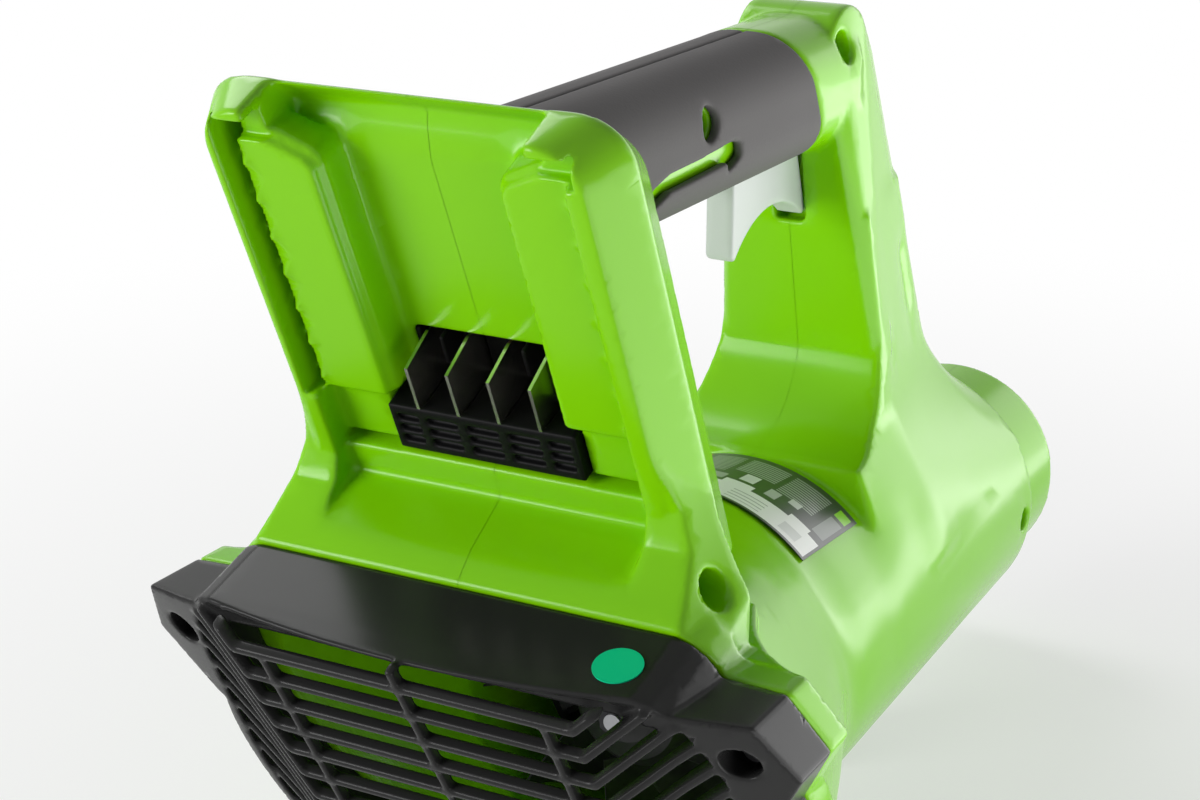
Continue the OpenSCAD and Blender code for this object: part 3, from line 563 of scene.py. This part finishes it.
def barrel_distance(x, y, z):
    """Distance to the outside of the barrel's cone."""
    c, t = math.cos(BARREL_RISE), math.sin(BARREL_RISE)
    along = -(x + COLLAR) * c + z * t
    widening = (BARREL_REAR_R - BARREL_FRONT_R) / BARREL_LENGTH
    return (np.sqrt(y ** 2 + ((x + COLLAR) * t + z * c) ** 2) - BARREL_FRONT_R
            - widening * along) * CONE_COS


def barrel_core(x, y, z):
    """A core inside the barrel's wall."""
    return barrel_distance(x, y, z) + CORE_DEPTH


def bell_core(x, y, z):
    """A core inside the wall of the fan casing and the flare behind it."""
    return (np.sqrt(y ** 2 + (z - FAN_Z) ** 2) - FAN_CORE_R
            - FLARE_SLOPE * np.maximum(0, FLARE_X - x))


def gap_face(x, z):
    """Distance in front of the gap's surface: the post's rear face and the round foot under it."""
    face = -(x - POST_REAR_X) * POST_REAR_X_SHARE - (z - POST_Z) * POST_REAR_Z_SHARE
    foot = GAP_R - np.sqrt((x - GAP_X) ** 2 + (z - GAP_Z) ** 2)
    return np.where(z < GAP_Z, np.maximum(foot, GAP_X - x), face)


def add_post_foot(field):
    """The post's flanks and front edge run into the barrel in a broad round foot."""
    radius = 26                # of the foot
    edge = 9                   # radius of the post's front corners
    inset = 2                  # how far the foot reaches into the walls
    lowest = 20
    clear = 0.03               # keeps the foot's thin end under the barrel's surface
    lean = 0.2                 # of the post's rear edges, for each millimetre down
    part, (x, y, z) = field.region((-200, -66, 0), (-30, 66, 125))
    barrel = barrel_distance(x, y, z) + clear
    rear = POST_REAR_X + lean * (POST_Z - z)
    half = POST_HALF + FLANK_SPREAD * (POST_Z - z) - FLANK_TAPER * np.maximum(0, x - rear)
    flank = (np.abs(y) - half) * FLANK_COS
    front = ((x - POST_FRONT_X) * POST_FRONT_X_SHARE + (z - POST_FRONT_Z) * POST_FRONT_Z_SHARE
             - POST_FRONT_SET)
    post = np.sqrt(np.maximum(flank + edge, 0) ** 2 + np.maximum(front + edge, 0) ** 2) - edge
    foot = radius - np.sqrt(np.maximum(radius - barrel, 0) ** 2
                            + np.maximum(radius - post, 0) ** 2)
    foot = np.maximum(foot, gap_face(x, z))
    near = (barrel > -inset) & (post > -inset) & (z > lowest)
    field.dist[part] = np.where(near, np.minimum(field.dist[part], foot), field.dist[part])


def foot_weight(x, y, z):
    """The post's foot on the barrel, clear of the crisp edge on the gap side."""
    return (ramp(-gap_face(x, z), 3, 7) * ramp(np.sqrt(y ** 2 + (z - 6) ** 2), 40, 44)
            * window(z, 12, 22, 100, 112) * (1 - ramp(x, -48, -40))
            * ramp(np.sqrt((x - RECESS_X) ** 2 + (z - RECESS_Z) ** 2), 6, 9))


def heel_weight(x, y, z):
    """The rear end of the post's foot, on the sides of the barrel."""
    return (window(x, -200, -180, -152, -132) * ramp(np.abs(y), 31, 39)
            * window(z, -8, 12, 54, 63) * ramp(barrel_distance(x, y, z), *SKIN))


def bell_weight(x, y, z):
    """The crease where the barrel starts to flare."""
    return (window(x, -258, -244, -214, -202) * (1 - ramp(z, 57, 62))
            * ramp(bell_core(x, y, z), *SKIN))


def bay_frame(x, z):
    """Places up the bay and out of its floor."""
    c, t = math.cos(BAY_TILT), math.sin(BAY_TILT)
    return -(x - BAY_X) * t + (z - BAY_Z) * c, -(x - BAY_X) * c - (z - BAY_Z) * t


def cut_bay(field):
    """The bay's narrow cuts, made after the edges are rounded so that they stay open: the
    ribbed channel beside the left rail, the upper corners, and the slot under the terminals."""
    ribs, first_rib, rib_pitch, rib_wall = 7, -40.6, 10, 1.3
    part, (x, y, z) = field.region((-375, -46, 95), (-290, 46, 200))
    up, out = bay_frame(x, z)
    side = np.abs(y)
    channel = box_distance((up, -43.5, 33), (y, 39.4, 42.9), (out, 1.5, 40))
    for i in range(ribs):
        start = first_rib + rib_pitch * i
        rib = box_distance((up, start, start + rib_wall), (y, 38, 44), (out, -2, 8))
        channel = np.maximum(channel, -rib)
    corner = box_distance((up, 26, 33), (side, 31, 42.7), (out, 8.5, 40))
    slot = box_distance((up, -61.2, -59.3), (side, 24.6, 40), (out, 2, 12))
    for cut in (channel, corner, slot):
        field.dist[part] = np.maximum(field.dist[part], -cut)


def make_housing(mat):
    field = Field(["left_housing", "right_housing"], 0.8)
    field.join()
    add_post_foot(field)
    field.melt((-176, -66, 5), (-36, 66, 116), 2.2, foot_weight)
    field.melt((-218, -78, -30), (-112, 78, 86), 7.5, heel_weight, barrel_core)
    field.melt((-266, -72, -66), (-190, 72, 66), 5, bell_weight, bell_core)
    field.smooth(0.6)
    cut_bay(field)
    shells = field.halves(("shell_left", "shell_right"), SEAM)
    for node, mesh in zip(("left_housing", "right_housing"), shells):
        settle(mesh, node, mat)


# ---------------------------------------------------------------- the trigger's spring
def make_spring(mat):
    """Round wire, wound round the plunger between its flange and the switch."""
    wire, turns, around, across = 0.00045, 6, 36, 10
    low, high = (Vector(corner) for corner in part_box("trigger_spring"))
    middle = (low + high) / 2
    radius = (high.x - low.x) / 2 - wire
    height = high.z - low.z - 2 * wire
    up = Vector((0, 0, 1))
    bm = bmesh.new()
    rings = []
    for i in range(turns * around + 1):
        turn = 2 * math.pi * i / around
        share = i / (turns * around)
        # the turns lie closer together at both ends
        rise = share - 0.55 * math.sin(2 * math.pi * share) / (2 * math.pi)
        out = Vector((math.cos(turn), math.sin(turn), 0))
        centre = Vector((middle.x, middle.y, low.z + wire + height * rise)) + out * radius
        rings.append([bm.verts.new(centre + wire * (math.cos(angle) * out + math.sin(angle) * up))
                      for angle in (2 * math.pi * j / across for j in range(across))])
    for near, far in zip(rings, rings[1:]):
        for j in range(across):
            k = (j + 1) % across
            bm.faces.new((near[j], near[k], far[k], far[j]))
    bm.faces.new(rings[0][::-1])
    bm.faces.new(rings[-1])
    bmesh.ops.recalc_face_normals(bm, faces=bm.faces)
    mesh = bpy.data.meshes.new("spring_coil")
    bm.to_mesh(mesh)
    bm.free()
    mesh.shade_smooth()
    piece = settle(mesh, "trigger_spring", mat)
    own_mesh(piece)


# ---------------------------------------------------------------- the scene
materials = {
    "housing_green": moulded("green_gloss", (120, 192, 3), 0.2, grain=0.03, wave=0.1,
                             spread=0.03, gloss=0.22),
    "cover_dark": moulded("dark_gloss", (39, 39, 39), 0.24, grain=0.1, wave=0.1, gloss=0.1),
    "grip_rubber": moulded("grip_soft", (82, 80, 80), 0.75, grain=0.5, grain_size=0.9,
                           spread=0.1, gloss=0.3),
    "trigger_grey": moulded("trigger_satin", (188, 194, 190), 0.4, grain=0.15, gloss=0.3),
    "steel": moulded("steel_zinc", (186, 187, 190), 0.34, grain=0.2, metal=1.0),
    "black_plastic": moulded("black_matt", (9, 9, 10), 0.5, grain=0.3, grain_size=0.4,
                             gloss=0.1),
    "plunger_red": moulded("plunger_red", (196, 40, 28), 0.45, grain=0.1),
    "contact_metal": moulded("blade_metal", (222, 219, 210), 0.24, grain=0.25, metal=1.0),
    "board_green": moulded("board_lacquer", (14, 84, 34), 0.35, grain=0.2),
    "capacitor_can": moulded("capacitor_sleeve", (60, 64, 96), 0.4, grain=0.1),
    "wire_red": moulded("wire_red", (178, 22, 18), 0.45, grain=0.1),
    "wire_black": moulded("wire_black", (18, 18, 18), 0.45, grain=0.1),
    "motor_steel": moulded("motor_steel", (150, 152, 156), 0.4, grain=0.3, metal=1.0),
    "fan_black": moulded("fan_black", (30, 30, 31), 0.42, grain=0.2),
    "damper_rubber": moulded("damper_rubber", (28, 28, 28), 0.8, grain=0.4),
    "label_face": label_paper(),
    "sticker_teal": moulded("sticker_teal", (4, 205, 148), 0.4, grain=0.1, gloss=0.2),
}
# A darker copy of the steel: painted shade for the screws that sit deep in dark holes. The
# impeller nut takes it too.
steel_painted_shade = moulded("steel_painted_shade", (64, 64, 66), 0.42, grain=0.2, metal=1.0)

make_camera()
make_floor()
make_lights()

for name, obj in nodes.items():
    dress(obj, materials[slot_of[name]])
# The screws and the impeller nut take the steel darkened with painted shade.
for name in ("grille_screws", "impeller_nut"):
    dress(nodes[name], steel_painted_shade)

make_housing(materials["housing_green"])
rounded("rear_grille", "intake_cover", 0.5, 0.4, materials["cover_dark"])
rounded("left_grip", "grip_left", 0.6, 0.5, materials["grip_rubber"])
rounded("right_grip", "grip_right", 0.6, 0.5, materials["grip_rubber"])
rounded("trigger", "trigger_lever", 0.4, 0.5, materials["trigger_grey"])
rounded("terminal_block", "terminal_housing", 0.4, 0.3, materials["black_plastic"])
make_spring(materials["steel"])
